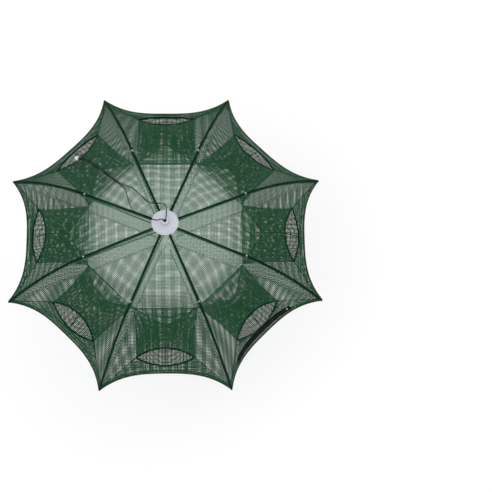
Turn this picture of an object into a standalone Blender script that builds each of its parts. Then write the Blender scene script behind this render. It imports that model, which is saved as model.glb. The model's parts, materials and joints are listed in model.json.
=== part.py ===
"""Folding crab trap, built as an eight-rib umbrella: a Blender 4.5 script, in metres, +Z up.

The origin is on the ground under the hub. Ribs point at 22.5 degrees and every 45 degrees on; the net
panels lie between them, the first one centred on +X.
"""

import math

import bmesh
import bpy
from mathutils import Matrix, Vector

# Overall sizes
RIBS = 8
TIP_RADIUS = 0.465
PIVOT_HEIGHT = 0.131
GAP = 0.0004

# Ribs: a tube from the hub to the rivet, with a thinner bent rod out to the tip
PIVOT_RADIUS = 0.0125
RIVET_DISTANCE = 0.226
RIB_DROOP = math.radians(3.0)
RIB_TUBE_RADIUS = 0.003
RIB_PAST_RIVET = 0.012
ROD_RADIUS = 0.0022
EYE_RADIUS = 0.0042
EYE_WIDTH = 0.0030
NECK_HEIGHT = 0.0044
RING_WIRE_RADIUS = 0.0011
RING_CLEARANCE = 0.0004

# Stretchers: flat bars beside the ribs, from the rivet down to the runner
BAR_WIDTH = 0.006
BAR_THICKNESS = 0.0016

# Hub
CROWN_RADIUS = 0.0205
CROWN_PLATE_HEIGHT = 0.008
CROWN_HALF_GAP = 0.0018
CORD_HOLE_RADIUS = 0.0045
CORE_RADIUS = 0.0075
RUNNER_RADIUS = 0.0205
RUNNER_HEIGHT = 0.012
DISC_RADIUS = 0.0375
DISC_THICKNESS = 0.002
DISC_SCALLOPS = 24
SCALLOP_DEPTH = 0.0008
BOSS_RADIUS = 0.011
BOSS_HEIGHT = 0.015
BOSS_FLUTES = 12
FLUTE_DEPTH = 0.0009

# Net panels
NET_THICKNESS = 0.0012
NET_ABOVE_RIB = 0.0035
CANOPY_START = 0.024
RIM_SCALLOP = 0.045
RIM_CURVE = 3
RIM_HEIGHT = 0.0122
MOUTH_WIDTH = 0.158
MOUTH_SILL = 0.016
MOUTH_LENGTH = 0.040
MOUTH_CORNER_SHARE = 0.45
FUNNEL_END_WIDTH = 0.170
FUNNEL_END_RADIUS = 0.2125
FUNNEL_END_HEIGHT = 0.051
FUNNEL_END_OPENING = 0.012
FLOOR_INSET = 0.006
PANEL_GAP = 0.0008

# Closure strip along one panel's rim
STRIP_THICKNESS = 0.002
STRIP_SPAN = 0.60
STRIP_CLEARANCE = 0.0012
STRIP_PANEL = 7

# Pull cord: two legs from the boss, run together to a bead
CORD_RADIUS = 0.00125
BEAD_RADIUS = 0.006
BEAD_LENGTH = 0.013
BEAD_PANEL = 3

# Values worked out from those above
STEP = 2 * math.pi / RIBS
HALF = STEP / 2
BAR_OFFSET = RIB_TUBE_RADIUS + GAP + BAR_THICKNESS / 2
RIVET_RADIUS = PIVOT_RADIUS + RIVET_DISTANCE * math.cos(RIB_DROOP)
RIVET_HEIGHT = PIVOT_HEIGHT - RIVET_DISTANCE * math.sin(RIB_DROOP)
RUNNER_Z = PIVOT_HEIGHT - 2 * RIVET_DISTANCE * math.sin(RIB_DROOP)
TIP_HEIGHT = ROD_RADIUS * 0.55
ROD_BEND = (RIVET_HEIGHT - TIP_HEIGHT - math.tan(RIB_DROOP) * (TIP_RADIUS - RIVET_RADIUS)) / (
    TIP_RADIUS - RIVET_RADIUS
) ** 2
SLOT_WIDTH = EYE_WIDTH + 2 * GAP
TUBE_START = 3 * GAP + math.hypot(CROWN_RADIUS - PIVOT_RADIUS, CROWN_HALF_GAP + GAP + CROWN_PLATE_HEIGHT / 2)
BAR_SLOT_WIDTH = BAR_THICKNESS + 2 * GAP
CROWN_TOP = PIVOT_HEIGHT + CROWN_HALF_GAP + CROWN_PLATE_HEIGHT
DISC_Z = CROWN_TOP + GAP
BOSS_Z = DISC_Z + DISC_THICKNESS + GAP
RIM_RADIUS = TIP_RADIUS * math.cos(HALF) - RIM_SCALLOP
NET_RISE = RIB_TUBE_RADIUS + NET_ABOVE_RIB

# The pull cord's routes, seen from above, with their heights over the ground
LEG_LEFT = [
    (-0.0021, 0.0000, 0.1545), (-0.0024, 0.0002, 0.1585), (-0.0040, 0.0008, 0.1615),
    (-0.0080, 0.0019, 0.1622), (-0.0112, 0.0029, 0.1614), (-0.0140, 0.0038, 0.1580),
    (-0.0163, 0.0044, 0.1520), (-0.0205, 0.0054, 0.1475), (-0.0250, 0.0064, 0.1460),
    (-0.0310, 0.0080, 0.1456), (-0.0400, 0.0105, 0.1452), (-0.0500, 0.0150, 0.1412),
    (-0.0650, 0.0243, 0.1396), (-0.0874, 0.0374, 0.1386), (-0.0940, 0.0499, 0.1388),
    (-0.1008, 0.0720, 0.1391), (-0.1085, 0.0988, 0.1368), (-0.1194, 0.1121, 0.1346),
    (-0.1457, 0.1352, 0.1284), (-0.1730, 0.1607, 0.1178), (-0.1992, 0.1860, 0.1029),
    (-0.2215, 0.2082, 0.0862), (-0.2318, 0.2128, 0.0802), (-0.2409, 0.2175, 0.0742),
]
LEG_RIGHT = [
    (0.0020, 0.0006, 0.1545), (0.0022, 0.0009, 0.1585), (0.0026, 0.0030, 0.1615),
    (0.0030, 0.0075, 0.1622), (0.0033, 0.0108, 0.1614), (0.0035, 0.0142, 0.1580),
    (0.0036, 0.0166, 0.1520), (0.0036, 0.0208, 0.1475), (0.0037, 0.0255, 0.1460),
    (0.0038, 0.0315, 0.1456), (0.0037, 0.0405, 0.1450), (0.0035, 0.0468, 0.1425),
    (-0.0014, 0.0535, 0.1418), (-0.0096, 0.0559, 0.1420), (-0.0239, 0.0571, 0.1420),
    (-0.0417, 0.0591, 0.1407), (-0.0564, 0.0714, 0.1403), (-0.0715, 0.0879, 0.1398),
    (-0.0895, 0.1039, 0.1378), (-0.1043, 0.1103, 0.1360), (-0.1178, 0.1157, 0.1344),
    (-0.1444, 0.1389, 0.1278), (-0.1715, 0.1646, 0.1171), (-0.1977, 0.1901, 0.1018),
    (-0.2206, 0.2127, 0.0841), (-0.2310, 0.2165, 0.0790), (-0.2406, 0.2207, 0.0742),
]

# Where the bead starts and the way it points: along and across its panel, and its clearance over the net
BEAD_FROM = (0.8375, 0.1025, 0.0023)
BEAD_TO = (0.8663, 0.1326, 0.0046)


def clear_scene():
    for thing in list(bpy.data.objects):
        bpy.data.objects.remove(thing)


def material(name, colour, roughness, metallic=0.0):
    made = bpy.data.materials.new(name)
    made.use_nodes = True
    shader = made.node_tree.nodes["Principled BSDF"]
    shader.inputs["Base Color"].default_value = (*colour, 1)
    shader.inputs["Roughness"].default_value = roughness
    shader.inputs["Metallic"].default_value = metallic
    made.diffuse_color = (*colour, 1)
    return made


def add_object(name, mesh, finish, origin=None, smooth=False):
    """A piece whose own origin lies on its joint's axis, when it has one."""
    thing = bpy.data.objects.new(name, mesh)
    bpy.context.collection.objects.link(thing)
    if origin is not None:
        mesh.transform(Matrix.Translation(-origin))
        thing.location = origin
    if not mesh.materials:
        mesh.materials.append(finish)
    if smooth:
        mesh.shade_smooth()
        mesh.set_sharp_from_angle(angle=math.radians(40))
    return thing


def mesh_of(name, points, faces):
    """A mesh with its faces turned outwards."""
    mesh = bpy.data.meshes.new(name)
    mesh.from_pydata([tuple(p) for p in points], [], faces)
    shape = bmesh.new()
    shape.from_mesh(mesh)
    bmesh.ops.recalc_face_normals(shape, faces=shape.faces)
    shape.to_mesh(mesh)
    shape.free()
    return mesh


def combined(base, others, operation):
    """The union of a mesh with others, or what is left of it after they are cut out."""
    target = bpy.data.objects.new("target", base)
    bpy.context.collection.objects.link(target)
    tools = []
    for other in others:
        tool = bpy.data.objects.new("tool", other)
        bpy.context.collection.objects.link(tool)
        tool.hide_render = True
        tool.display_type = "WIRE"
        change = target.modifiers.new("join", "BOOLEAN")
        change.operation = operation
        change.object = tool
        change.solver = "EXACT"
        tools.append(tool)
    bpy.context.view_layer.update()
    result = bpy.data.meshes.new_from_object(target.evaluated_get(bpy.context.evaluated_depsgraph_get()))
    for thing in [target, *tools]:
        bpy.data.objects.remove(thing)
    return result


def prism(name, outline, low, high, axis="Z"):
    """An outline extruded from low to high, along Z or along Y."""
    count = len(outline)
    if axis == "Z":
        points = [(x, y, low) for x, y in outline] + [(x, y, high) for x, y in outline]
    else:
        points = [(x, low, z) for x, z in outline] + [(x, high, z) for x, z in outline]
    faces = [tuple(range(count)), tuple(range(count, 2 * count))]
    faces += [(i, (i + 1) % count, count + (i + 1) % count, count + i) for i in range(count)]
    return mesh_of(name, points, faces)


def circle(radius, count, centre=(0.0, 0.0)):
    return [
        (centre[0] + radius * math.cos(turn), centre[1] + radius * math.sin(turn))
        for turn in (2 * math.pi * i / count for i in range(count))
    ]


def waved_circle(radius, waves, depth, per_wave):
    """A circle whose edge goes in and out."""
    count = waves * per_wave
    outline = []
    for i in range(count):
        turn = 2 * math.pi * i / count
        here = radius - depth * (0.5 - 0.5 * math.cos(waves * turn))
        outline.append((here * math.cos(turn), here * math.sin(turn)))
    return outline


def ring_prism(name, outline, hole_radius, low, high):
    """An outline with a round hole, extruded along Z."""
    count = len(outline)
    inner = []
    for x, y in outline:
        share = hole_radius / math.hypot(x, y)
        inner.append((x * share, y * share))
    points = []
    for z in (low, high):
        points += [(x, y, z) for x, y in outline] + [(x, y, z) for x, y in inner]
    faces = []
    for i in range(count):
        j = (i + 1) % count
        faces.append((i, j, 2 * count + j, 2 * count + i))
        faces.append((count + i, count + j, 3 * count + j, 3 * count + i))
        faces.append((i, j, count + j, count + i))
        faces.append((2 * count + i, 2 * count + j, 3 * count + j, 3 * count + i))
    return mesh_of(name, points, faces)


def star(radius, slot_width, slot_bottom, offset):
    """A round plate's outline with one slot for each rib, cut in from its edge."""
    outline = []
    for k in range(RIBS):
        turn = HALF + k * STEP
        reach = math.sqrt(radius**2 - (abs(offset) + slot_width / 2) ** 2)
        for along, across in (
            (reach, offset - slot_width / 2), (slot_bottom, offset - slot_width / 2),
            (slot_bottom, offset + slot_width / 2), (reach, offset + slot_width / 2),
        ):
            outline.append(
                (
                    along * math.cos(turn) - across * math.sin(turn),
                    along * math.sin(turn) + across * math.cos(turn),
                )
            )
        for share in (0.33, 0.67):
            start = turn + math.asin((offset + slot_width / 2) / radius)
            end = turn + STEP + math.asin((offset - slot_width / 2) / radius)
            there = start + (end - start) * share
            outline.append((radius * math.cos(there), radius * math.sin(there)))
    return outline


def tube(name, centres, radius, sides, across=Vector((0, 1, 0))):
    """A closed round bar through points that lie in one plane, with across as that plane's normal."""
    points, faces = [], []
    for i, centre in enumerate(centres):
        before, after = centres[max(i - 1, 0)], centres[min(i + 1, len(centres) - 1)]
        ahead = (Vector(after) - Vector(before)).normalized()
        up = ahead.cross(across)
        for s in range(sides):
            turn = 2 * math.pi * (s + 0.5) / sides
            points.append(Vector(centre) + radius * (math.cos(turn) * across + math.sin(turn) * up))
    last = (len(centres) - 1) * sides
    faces.append(tuple(range(sides)))
    faces.append(tuple(range(last, last + sides)))
    for i in range(len(centres) - 1):
        for s in range(sides):
            t = (s + 1) % sides
            faces.append((i * sides + s, i * sides + t, (i + 1) * sides + t, (i + 1) * sides + s))
    return mesh_of(name, points, faces)


def rod_height(radius):
    """The height of the outer rod's centre line at a distance from the hub's axis."""
    out = radius - RIVET_RADIUS
    return RIVET_HEIGHT - math.tan(RIB_DROOP) * out - ROD_BEND * out * out


def rib_height(radius):
    if radius < RIVET_RADIUS:
        return PIVOT_HEIGHT - math.tan(RIB_DROOP) * (radius - PIVOT_RADIUS)
    return rod_height(radius)


def rib_mesh():
    """The inner tube of a rib along +X, with the eye that hangs on the crown's ring."""
    slope = Vector((math.cos(RIB_DROOP), 0, -math.sin(RIB_DROOP)))
    pivot = Vector((PIVOT_RADIUS, 0, PIVOT_HEIGHT))
    bar = tube(
        "rib_tube", [pivot + slope * TUBE_START, pivot + slope * (RIVET_DISTANCE + RIB_PAST_RIVET)],
        RIB_TUBE_RADIUS, 10,
    )
    upright = Vector((math.sin(RIB_DROOP), 0, math.cos(RIB_DROOP))) * NECK_HEIGHT / 2
    neck_end = pivot + slope * (TUBE_START + NECK_HEIGHT / 2)
    corners = (pivot + upright, pivot - upright, neck_end - upright, neck_end + upright)
    neck_side = EYE_WIDTH / 2 - GAP / 4
    neck = prism("neck", [(p.x, p.z) for p in corners], -neck_side, neck_side, "Y")
    rim = circle(EYE_RADIUS, 16, (PIVOT_RADIUS, PIVOT_HEIGHT))
    eye = prism("eye", rim, -EYE_WIDTH / 2, EYE_WIDTH / 2, "Y")
    hole = prism(
        "hole", circle(RING_WIRE_RADIUS + RING_CLEARANCE, 12, (PIVOT_RADIUS, PIVOT_HEIGHT)),
        -EYE_WIDTH, EYE_WIDTH, "Y",
    )
    return combined(combined(bar, [neck, eye], "UNION"), [hole], "DIFFERENCE")


def rod_mesh():
    """The outer rod of a rib along +X, from the tube's end down to the ground, where it is worn flat."""
    start = RIVET_RADIUS + (RIB_PAST_RIVET + GAP) * math.cos(RIB_DROOP)
    stations = 9
    centres = []
    for i in range(stations):
        radius = start + (TIP_RADIUS - start) * i / (stations - 1)
        centres.append((radius, 0, rod_height(radius)))
    mesh = tube("rod", centres, ROD_RADIUS, 8)
    for corner in mesh.vertices:
        corner.co.z = max(corner.co.z, 0.0)
    return mesh


def stretcher_mesh():
    """A flat bar along +X, from the rivet in to the runner, beside the rib."""
    slope = math.atan2(RIVET_HEIGHT - RUNNER_Z, RIVET_RADIUS - PIVOT_RADIUS)
    outline = []
    for centre, first in (((RIVET_RADIUS, RIVET_HEIGHT), -90), ((PIVOT_RADIUS, RUNNER_Z), 90)):
        for i in range(5):
            turn = math.radians(first + 45 * i) + slope
            outline.append(
                (centre[0] + BAR_WIDTH / 2 * math.cos(turn), centre[1] + BAR_WIDTH / 2 * math.sin(turn))
            )
    return prism("stretcher", outline, BAR_OFFSET - BAR_THICKNESS / 2, BAR_OFFSET + BAR_THICKNESS / 2, "Y")


def crown_mesh():
    """The upper half of the hub: a slotted plate with a core that the ring goes round."""
    slotted = star(CROWN_RADIUS, SLOT_WIDTH, CORE_RADIUS + GAP, 0)
    plate = prism("crown", slotted, PIVOT_HEIGHT + CROWN_HALF_GAP, CROWN_TOP)
    core = prism("core", circle(CORE_RADIUS, 24), PIVOT_HEIGHT - CROWN_HALF_GAP, CROWN_TOP - GAP)
    bore = circle(CORD_HOLE_RADIUS, 16)
    hole = prism("hole", bore, PIVOT_HEIGHT - 2 * CROWN_PLATE_HEIGHT, CROWN_TOP + CROWN_PLATE_HEIGHT)
    return combined(combined(plate, [core], "UNION"), [hole], "DIFFERENCE")


def crown_plate_mesh():
    """The lower half of the hub, which closes the ring's groove."""
    top = PIVOT_HEIGHT - CROWN_HALF_GAP - GAP
    slotted = star(CROWN_RADIUS, SLOT_WIDTH, CORE_RADIUS + GAP, 0)
    plate = prism("crown_plate", slotted, top - CROWN_PLATE_HEIGHT / 2, top)
    hole = prism("hole", circle(CORD_HOLE_RADIUS, 16), top - CROWN_PLATE_HEIGHT, top + CROWN_PLATE_HEIGHT)
    return combined(plate, [hole], "DIFFERENCE")


def runner_mesh():
    """The sliding hub, with an open slot for each stretcher's end."""
    low, high = RUNNER_Z - RUNNER_HEIGHT / 2, RUNNER_Z + RUNNER_HEIGHT / 2
    body = prism("runner", star(RUNNER_RADIUS, BAR_SLOT_WIDTH, CORE_RADIUS + GAP, BAR_OFFSET), low, high)
    hole = prism("hole", circle(CORD_HOLE_RADIUS, 16), low - RUNNER_HEIGHT, high + RUNNER_HEIGHT)
    return combined(body, [hole], "DIFFERENCE")


def ring_mesh():
    """The wire ring that all the ribs turn on."""
    around, sides = 40, 6
    points, faces = [], []
    for i in range(around):
        turn = 2 * math.pi * i / around
        for s in range(sides):
            roll = 2 * math.pi * s / sides
            radius = PIVOT_RADIUS + RING_WIRE_RADIUS * math.cos(roll)
            height = PIVOT_HEIGHT + RING_WIRE_RADIUS * math.sin(roll)
            points.append((radius * math.cos(turn), radius * math.sin(turn), height))
    for i in range(around):
        for s in range(sides):
            j, t = (i + 1) % around, (s + 1) % sides
            faces.append((i * sides + s, j * sides + s, j * sides + t, i * sides + t))
    return mesh_of("ring", points, faces)


def canopy_point(along, across):
    """A point on the canopy's underside, in the frame of a panel centred on +X.

    along runs from 0 at the hub to 1 at the rim, across from -1 to 1 between the two ribs.
    """
    middle = CANOPY_START + (RIM_RADIUS - CANOPY_START) * along
    side = CANOPY_START + (TIP_RADIUS - CANOPY_START) * along
    crown = PIVOT_HEIGHT + NET_RISE
    middle_height = crown - (crown - RIM_HEIGHT) * along**3
    side_height = rib_height(side) + NET_RISE
    across_half = side * math.sin(HALF) - PANEL_GAP
    forward = middle + (side * math.cos(HALF) - middle) * abs(across) ** RIM_CURVE
    height = middle_height + (side_height - middle_height) * across**2
    return Vector((forward, across_half * across, height))


def mouth_lines():
    """Where the mouth starts and ends along the panel's middle, its corners' place along, and across."""
    span = RIM_RADIUS - CANOPY_START
    low = 1 - MOUTH_SILL / span
    high = low - MOUTH_LENGTH / span
    corner = high + (low - high) * MOUTH_CORNER_SHARE
    side = CANOPY_START + (TIP_RADIUS - CANOPY_START) * corner
    return high, low, corner, MOUTH_WIDTH / 2 / (side * math.sin(HALF) - PANEL_GAP)


def canopy_columns():
    """The places across a panel where its facets meet."""
    edge = mouth_lines()[3]
    return [-1, -(1 + edge) / 2, -edge, -edge * 0.6, 0, edge * 0.6, edge, (1 + edge) / 2, 1]


def resting_point(along, across, lift):
    """A point over the canopy's outside, which runs straight from column to column."""
    columns = canopy_columns()
    left, right = next(pair for pair in zip(columns, columns[1:]) if pair[1] >= across)
    start, end = canopy_point(along, left), canopy_point(along, right)
    return start.lerp(end, (across - left) / (right - left)) + Vector((0, 0, NET_THICKNESS + lift))


def canopy_mesh():
    """One panel of the canopy as a thin closed solid, with the entrance's lens-shaped mouth left open."""
    high, low, corner, edge = mouth_lines()
    columns = canopy_columns()
    upper = [0, 0.3, 0.5, 0.64, 0.76, 0.88, 1]
    lower = [0, 1]

    def lip(line, across):
        open_share = max(0.0, 1 - (across / edge) ** 2)
        return corner + (line - corner) * open_share

    points, faces, seen = [], [], {}

    def point(along, across, top):
        key = (round(along, 6), round(across, 6), top)
        if key not in seen:
            seen[key] = len(points)
            points.append(canopy_point(along, across) + Vector((0, 0, NET_THICKNESS if top else 0)))
        return seen[key]

    cells = []
    for left, right in zip(columns, columns[1:]):
        for a, b in zip(upper, upper[1:]):
            cells.append([(lip(high, left) * a, left), (lip(high, right) * a, right),
                          (lip(high, right) * b, right), (lip(high, left) * b, left)])
        for a, b in zip(lower, lower[1:]):
            row = []
            for share, across in ((a, left), (a, right), (b, right), (b, left)):
                start = lip(low, across)
                row.append((start + (1 - start) * share, across))
            cells.append(row)
    edges = {}
    for cell in cells:
        for top in (False, True):
            corners = [point(along, across, top) for along, across in cell]
            faces.append(tuple(corners if top else reversed(corners)))
        keys = [(round(along, 6), round(across, 6)) for along, across in cell]
        for here, there in zip(keys, keys[1:] + keys[:1]):
            if (there, here) in edges:
                del edges[(there, here)]
            else:
                edges[(here, there)] = True
    for here, there in edges:
        faces.append((seen[(*here, False)], seen[(*there, False)], seen[(*there, True)], seen[(*here, True)]))
    return mesh_of("canopy", points, faces)


def funnel_mesh():
    """An entrance's funnel: a flat net tunnel from the mouth in to a straight slit, open at both ends."""
    high, low, corner, edge = mouth_lines()
    below = Vector((0, 0, -NET_THICKNESS - GAP))
    shares = [-1, -0.6, 0, 0.6, 1]
    rings = []
    for station in (0.0, 0.35, 0.7, 1.0):
        outer = []
        for line, sign, order in ((high, 1, shares), (low, -1, shares[::-1])):
            for share in order[1:-1] if sign < 0 else order:
                mouth = canopy_point(corner + (line - corner) * (1 - share**2), share * edge * 0.985) + below
                if sign < 0:
                    mouth += Vector((-2 * GAP, 0, 0))
                end = Vector((
                    FUNNEL_END_RADIUS, FUNNEL_END_WIDTH / 2 * share,
                    FUNNEL_END_HEIGHT + sign * FUNNEL_END_OPENING / 2 * (1 - 0.5 * share**2),
                ))
                outer.append(mouth.lerp(end, station))
        rings.append(outer)
    count = len(rings[0])
    points, faces = [], []
    for ring in rings:
        centre = sum(ring, Vector()) / count
        for p in ring:
            points.append(p)
        for p in ring:
            inward = Vector((0, centre.y - p.y, centre.z - p.z))
            upright = Vector((0, 0, math.copysign(NET_THICKNESS, centre.z - p.z)))
            at_side = abs(p.y) > FUNNEL_END_WIDTH * 0.45
            points.append(p + (inward.normalized() * NET_THICKNESS * 2 if at_side else upright))
    def outside(r, i):
        return r * 2 * count + i % count
    def inside(r, i):
        return r * 2 * count + count + i % count
    for i in range(count):
        for r in range(len(rings) - 1):
            faces.append((outside(r, i), outside(r, i + 1), outside(r + 1, i + 1), outside(r + 1, i)))
            faces.append((inside(r, i), inside(r, i + 1), inside(r + 1, i + 1), inside(r + 1, i)))
        for r in (0, len(rings) - 1):
            faces.append((outside(r, i), outside(r, i + 1), inside(r, i + 1), inside(r, i)))
    return mesh_of("funnel", points, faces)


def floor_mesh():
    """One gore of the floor net, from under the hub out to the rim, flat on the ground."""
    outline = [(PANEL_GAP * 2, 0.0)]
    for across in (-1, -0.67, -0.33, 0, 0.33, 0.67, 1):
        edge = canopy_point(1, across)
        share = 1 - FLOOR_INSET / edge.length
        outline.append((edge.x * share - FLOOR_INSET * abs(across), edge.y * (share - 0.03)))
    return prism("floor", outline, 0.0, NET_THICKNESS)


def strip_mesh():
    """The closure strip that lies on a panel between the mouth and the rim."""
    _, low, corner, edge = mouth_lines()
    columns = 9
    points, faces = [], []
    for i in range(columns):
        across = STRIP_SPAN * (2 * i / (columns - 1) - 1)
        sill = corner + (low - corner) * max(0.0, 1 - (across / edge) ** 2)
        start = max(sill, low - (low - corner) * 0.25) + 0.012 * (low - corner)
        for along, rise in ((start, 0), (0.995, 0), (0.995, 1), (start, 1)):
            points.append(resting_point(along, across, STRIP_CLEARANCE + rise * STRIP_THICKNESS))
    for i in range(columns - 1):
        for s in range(4):
            t = (s + 1) % 4
            faces.append((4 * i + s, 4 * i + t, 4 * i + 4 + t, 4 * i + 4 + s))
    faces += [(0, 1, 2, 3), tuple(4 * (columns - 1) + s for s in range(4))]
    return mesh_of("strip", points, faces)


def smooth_route(route, spacing):
    """Evenly spaced points on a smooth curve through the route's own points."""
    points = [Vector(p) for p in route]
    padded = [2 * points[0] - points[1], *points, 2 * points[-1] - points[-2]]
    fine = []
    for a, b, c, d in zip(padded, padded[1:], padded[2:], padded[3:]):
        for i in range(12):
            t = i / 12
            square, cube = (2 * a - 5 * b + 4 * c - d) * t**2, (3 * b - a - 3 * c + d) * t**3
            fine.append(0.5 * (2 * b + (c - a) * t + square + cube))
    fine.append(points[-1])
    total = sum((q - p).length for p, q in zip(fine, fine[1:]))
    count = max(2, round(total / spacing))
    picked, walked, wanted = [fine[0]], 0.0, total / count
    for p, q in zip(fine, fine[1:]):
        step = (q - p).length
        while walked + step >= wanted - 1e-9 and len(picked) < count:
            picked.append(p.lerp(q, (wanted - walked) / step))
            wanted += total / count
        walked += step
    picked.append(points[-1])
    return picked


def add_cord(name, route, finish):
    """A free cord as a curve with a round bevel and filled caps."""
    curve = bpy.data.curves.new(name, "CURVE")
    curve.dimensions = "3D"
    curve.bevel_depth = CORD_RADIUS
    curve.bevel_resolution = 2
    curve.use_fill_caps = True
    spline = curve.splines.new("POLY")
    places = smooth_route(route, 3 * 2 * CORD_RADIUS)
    spline.points.add(len(places) - 1)
    for knot, place in zip(spline.points, places):
        knot.co = (*place, 1)
    curve.materials.append(finish)
    thing = bpy.data.objects.new(name, curve)
    bpy.context.collection.objects.link(thing)
    return thing


def bead_mesh():
    """The bead on the pull cord's end, turned round its own length."""
    start, end = (
        Matrix.Rotation(BEAD_PANEL * STEP, 3, "Z") @ resting_point(along, across, BEAD_RADIUS + clearance)
        for along, across, clearance in (BEAD_FROM, BEAD_TO)
    )
    ahead = (end - start).normalized()
    side = ahead.cross(Vector((0, 0, 1))).normalized()
    up = side.cross(ahead)
    sides = 10
    profile = [(0.0, 0.55), (0.2, 0.92), (0.5, 1.0), (0.8, 0.92), (1.0, 0.55)]
    points, faces = [], []
    for share, size in profile:
        for s in range(sides):
            turn = 2 * math.pi * s / sides
            points.append(
                start + ahead * BEAD_LENGTH * share
                + BEAD_RADIUS * size * (math.cos(turn) * side + math.sin(turn) * up)
            )
    last = (len(profile) - 1) * sides
    faces += [tuple(range(sides)), tuple(range(last, last + sides))]
    for i in range(len(profile) - 1):
        for s in range(sides):
            t = (s + 1) % sides
            faces.append((i * sides + s, i * sides + t, (i + 1) * sides + t, (i + 1) * sides + s))
    return mesh_of("bead", points, faces)


def turned(mesh, turn):
    copy = mesh.copy()
    copy.transform(Matrix.Rotation(turn, 4, "Z"))
    return copy


def build():
    clear_scene()
    plastic = material("hub_plastic", (0.62, 0.62, 0.68), 0.45)
    dark = material("dark_plastic", (0.03, 0.035, 0.035), 0.5)
    steel = material("ring_wire", (0.55, 0.55, 0.56), 0.3, 1.0)
    tube_finish = material("rib_tube", (0.02, 0.05, 0.03), 0.45)
    rod_finish = material("rib_rod", (0.02, 0.05, 0.03), 0.5)
    bar_finish = material("stretcher_bar", (0.03, 0.05, 0.04), 0.45)
    net = material("net", (0.05, 0.12, 0.07), 0.8)
    funnel_net = material("funnel_net", (0.03, 0.09, 0.045), 0.8)
    strip_finish = material("closure_strip", (0.015, 0.015, 0.018), 0.7)
    cord_finish = material("pull_cord", (0.02, 0.025, 0.03), 0.7)
    bead_finish = material("bead", (0.8, 0.8, 0.78), 0.4)

    add_object("crown", crown_mesh(), dark)
    add_object("crown_plate", crown_plate_mesh(), dark)
    add_object("crown_ring", ring_mesh(), steel, smooth=True)
    scallops = waved_circle(DISC_RADIUS, DISC_SCALLOPS, SCALLOP_DEPTH, 4)
    disc = ring_prism("disc", scallops, CORD_HOLE_RADIUS, DISC_Z, DISC_Z + DISC_THICKNESS)
    add_object("top_disc", disc, plastic, smooth=True)
    flutes = waved_circle(BOSS_RADIUS, BOSS_FLUTES, FLUTE_DEPTH, 4)
    boss = ring_prism("boss", flutes, CORD_HOLE_RADIUS, BOSS_Z, BOSS_Z + BOSS_HEIGHT)
    add_object("top_boss", boss, plastic, smooth=True)
    add_object("runner", runner_mesh(), dark, Vector((0, 0, RUNNER_Z)))

    hub_pivot = Vector((PIVOT_RADIUS, 0, PIVOT_HEIGHT))
    rivet = Vector((RIVET_RADIUS, 0, RIVET_HEIGHT))
    hinge = Vector((RIM_RADIUS - FLOOR_INSET, 0, NET_THICKNESS / 2))
    pieces = (
        ("rib", rib_mesh(), tube_finish, HALF, hub_pivot, True),
        ("rod", rod_mesh(), rod_finish, HALF, hub_pivot, True),
        ("stretcher", stretcher_mesh(), bar_finish, HALF, rivet, False),
        ("canopy", canopy_mesh(), net, 0, hub_pivot, True),
        ("funnel", funnel_mesh(), funnel_net, 0, hub_pivot, True),
        ("floor", floor_mesh(), net, 0, hinge, False),
    )
    for name, mesh, finish, first, origin, smooth in pieces:
        for k in range(RIBS):
            place = Matrix.Rotation(first + k * STEP, 3, "Z") @ origin
            add_object(f"{name}_{k + 1}", turned(mesh, first + k * STEP), finish, place, smooth)
    add_object("closure_strip", turned(strip_mesh(), STRIP_PANEL * STEP), strip_finish)
    add_cord("pull_cord_left", LEG_LEFT, cord_finish)
    add_cord("pull_cord_right", LEG_RIGHT, cord_finish)
    add_object("cord_bead", bead_mesh(), bead_finish, smooth=True)


build()
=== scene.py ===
import json
import math

import bmesh
import bpy
import numpy as np
from mathutils import Matrix, Vector


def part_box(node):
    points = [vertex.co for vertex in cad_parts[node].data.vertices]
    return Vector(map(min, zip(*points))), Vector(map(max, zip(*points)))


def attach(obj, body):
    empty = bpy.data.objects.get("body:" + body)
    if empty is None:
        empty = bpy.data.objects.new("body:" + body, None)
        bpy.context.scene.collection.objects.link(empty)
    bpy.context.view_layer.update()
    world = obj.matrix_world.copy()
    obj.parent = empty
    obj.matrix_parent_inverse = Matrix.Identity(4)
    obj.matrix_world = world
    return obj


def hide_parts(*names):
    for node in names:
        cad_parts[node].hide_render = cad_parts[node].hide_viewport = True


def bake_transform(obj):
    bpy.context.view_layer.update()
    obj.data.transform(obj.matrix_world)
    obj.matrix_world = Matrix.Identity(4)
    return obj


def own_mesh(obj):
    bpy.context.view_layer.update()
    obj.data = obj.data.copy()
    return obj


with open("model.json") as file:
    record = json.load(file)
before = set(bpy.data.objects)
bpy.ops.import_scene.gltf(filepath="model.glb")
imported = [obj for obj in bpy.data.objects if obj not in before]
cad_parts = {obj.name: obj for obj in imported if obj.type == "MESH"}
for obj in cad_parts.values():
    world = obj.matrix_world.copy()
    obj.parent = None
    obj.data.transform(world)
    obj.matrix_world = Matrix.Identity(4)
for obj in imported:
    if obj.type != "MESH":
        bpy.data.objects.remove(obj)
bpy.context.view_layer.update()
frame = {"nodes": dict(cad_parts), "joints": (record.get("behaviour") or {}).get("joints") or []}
print("frame loaded")

# where things are, from the frame
ribs = 8
step = 2 * math.pi / ribs
half = step / 2
jointPlace = {j["name"]: Vector(j["pos_m"]) for j in frame["joints"] if "pos_m" in j}
pivot = jointPlace["rib_1_fold"]
rivet = jointPlace["stretcher_1_swing"]
pivotRadius, pivotHeight = math.hypot(pivot.x, pivot.y), pivot.z
rivetRadius, rivetHeight = math.hypot(rivet.x, rivet.y), rivet.z
rodRadius = 0.0022
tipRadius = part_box("rod_1")[1].x / math.cos(half) - rodRadius * 0.8
droop = math.atan2(pivotHeight - rivetHeight, rivetRadius - pivotRadius)

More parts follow.
